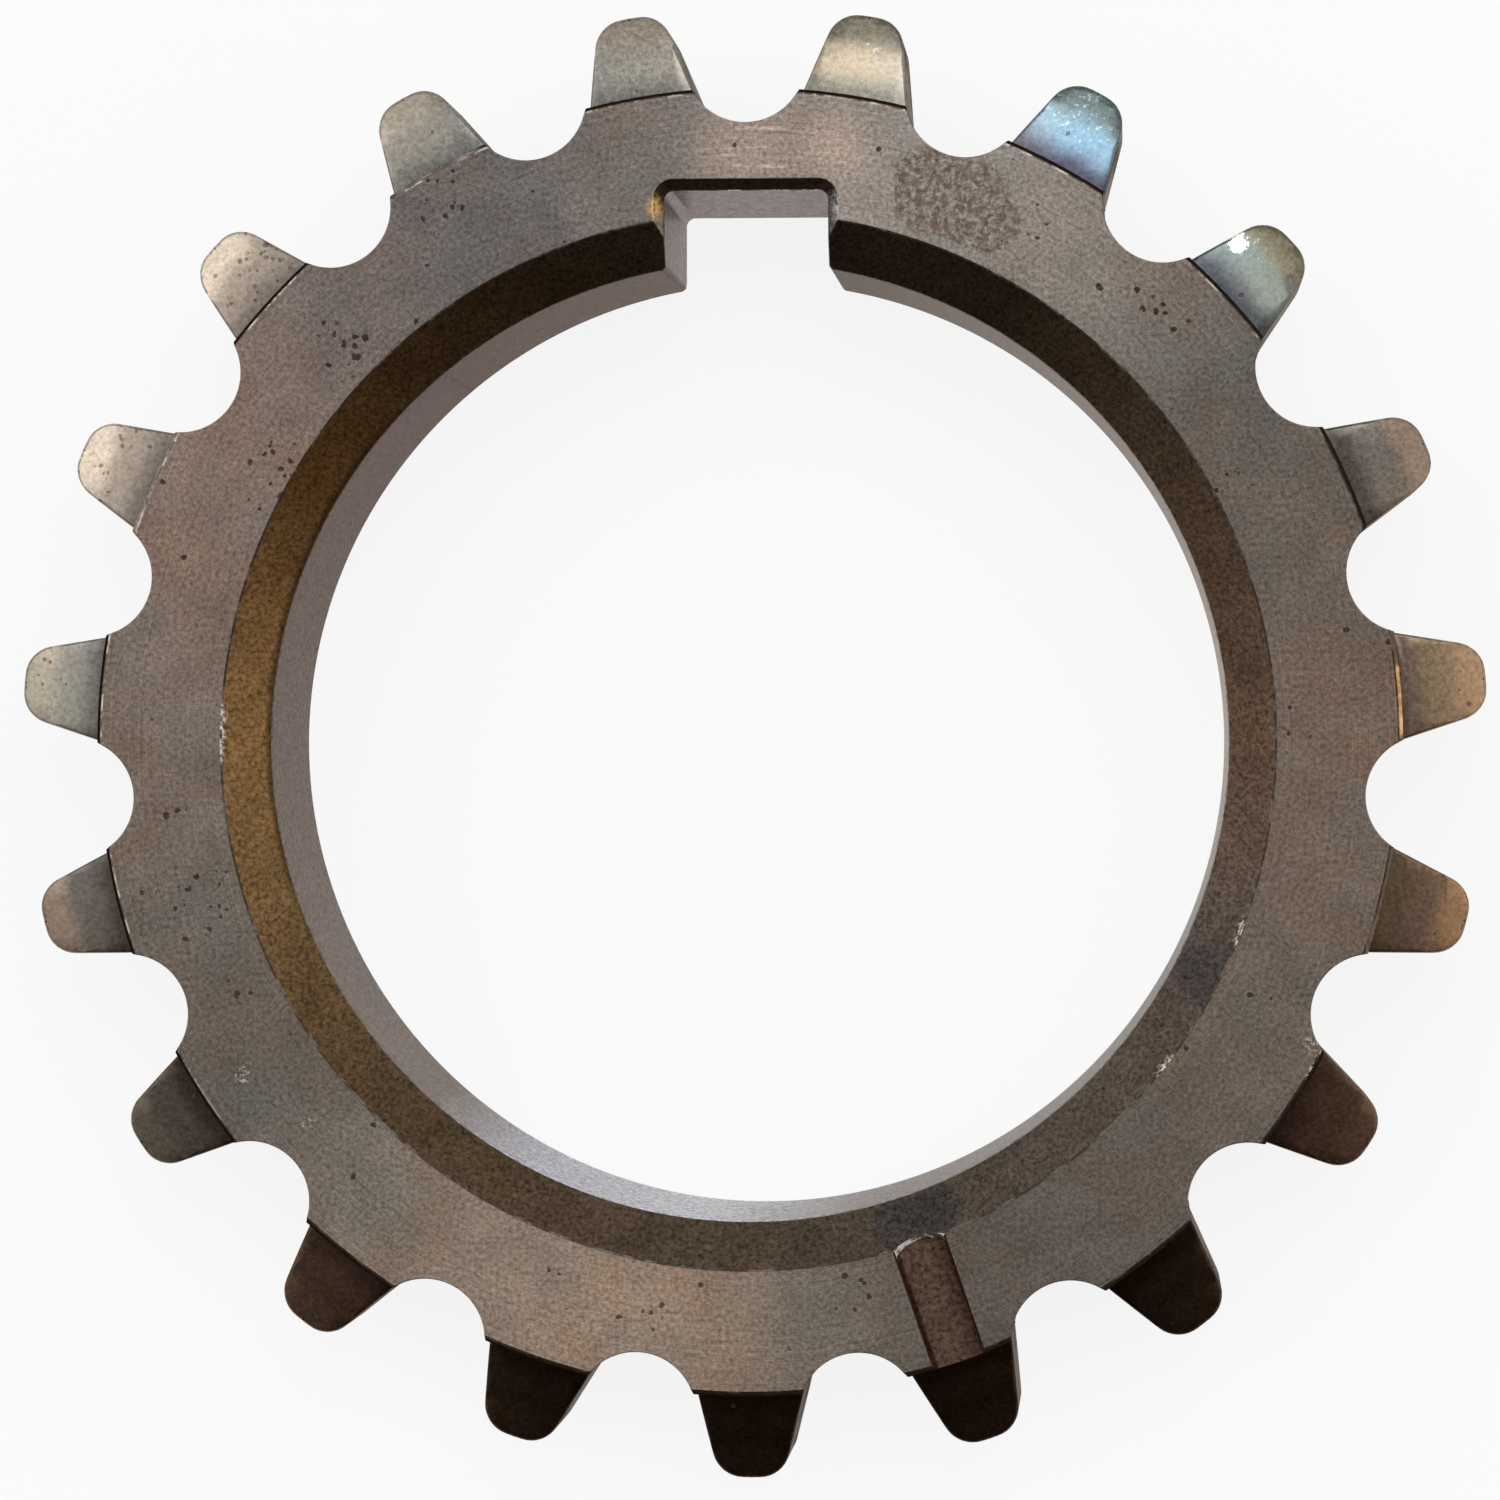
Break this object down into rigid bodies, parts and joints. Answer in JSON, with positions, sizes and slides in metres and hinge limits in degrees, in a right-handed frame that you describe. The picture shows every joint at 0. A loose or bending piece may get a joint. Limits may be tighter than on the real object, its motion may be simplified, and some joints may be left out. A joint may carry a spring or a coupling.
{
  "type": "crankshaft sprocket",
  "caption": "Toothed steel ring that sits on an engine's crankshaft and drives its timing chain, with a keyed bore, a lead-in at the front and a timing mark.",
  "frame": {"origin": "on the bore axis, in the plane of the back face that it rests on", "axes": "+Z along the bore axis and out of the front face, +Y towards the keyway"},
  "size_m": [0.0632, 0.0629, 0.01],
  "materials": {
    "steel": "fine-turned grey steel with brown oil stain, heat tint on the teeth and small rust pits"
  },
  "bodies": {
    "root": {"sprocket": "steel"}
  },
  "joints": []
}
